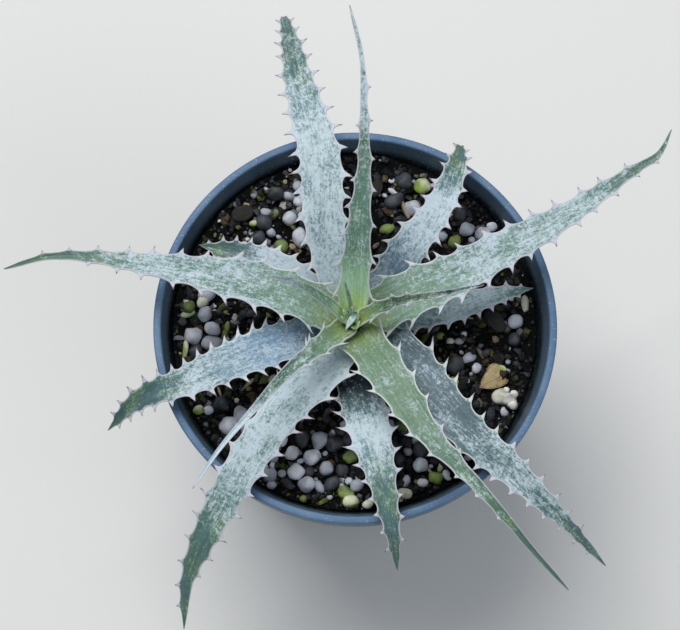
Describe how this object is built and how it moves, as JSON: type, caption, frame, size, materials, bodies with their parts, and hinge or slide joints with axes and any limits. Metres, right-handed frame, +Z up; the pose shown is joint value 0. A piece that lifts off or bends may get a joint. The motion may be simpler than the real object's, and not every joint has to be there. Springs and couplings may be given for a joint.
{
  "type": "potted spiny rosette plant",
  "caption": "Spiny grey-green bromeliad rosette with long arching toothed leaves, growing in gritty potting mix in a round tapered plastic nursery pot.",
  "frame": {"origin": "centre of the underside of the pot, on the surface that it stands on", "axes": "+Z up along the pot's axis, +Y away from the front view, +X to the right of that view"},
  "size_m": [0.1681, 0.1609, 0.1341],
  "materials": {
    "pot_plastic": "moulded polypropylene, blue-grey, satin, dusty and scuffed on the rim",
    "potting_mix": "damp dark peat and bark with pale grey fertiliser prills and tan bark chips",
    "stem": "fleshy yellow-green heart",
    "leaf_heart": "fleshy green, thin white scurf",
    "leaf_young": "fleshy green with white scurf and pale horny margin",
    "leaf_grown": "fleshy grey-green with white scurf and pale horny margin",
    "leaf_old": "fleshy blue-grey with dense white scurf and pale horny margin"
  },
  "bodies": {
    "root": {"pot": "pot_plastic", "potting_mix": "potting_mix", "stem": "stem", "leaf_centre": "leaf_heart", "leaf_upright_west": "leaf_heart", "leaf_upright_east": "leaf_heart", "leaf_southwest_narrow": "leaf_young", "leaf_north_young": "leaf_young", "leaf_southeast_young": "leaf_young", "leaf_west_long": "leaf_grown", "leaf_east_long": "leaf_grown", "leaf_southwest_broad": "leaf_grown", "leaf_north_broad": "leaf_old", "leaf_southeast_broad": "leaf_old", "leaf_west_grey": "leaf_old", "leaf_northeast_short": "leaf_old", "leaf_south_short": "leaf_old", "leaf_northwest_low": "leaf_old", "leaf_east_low": "leaf_old"}
  },
  "joints": []
}
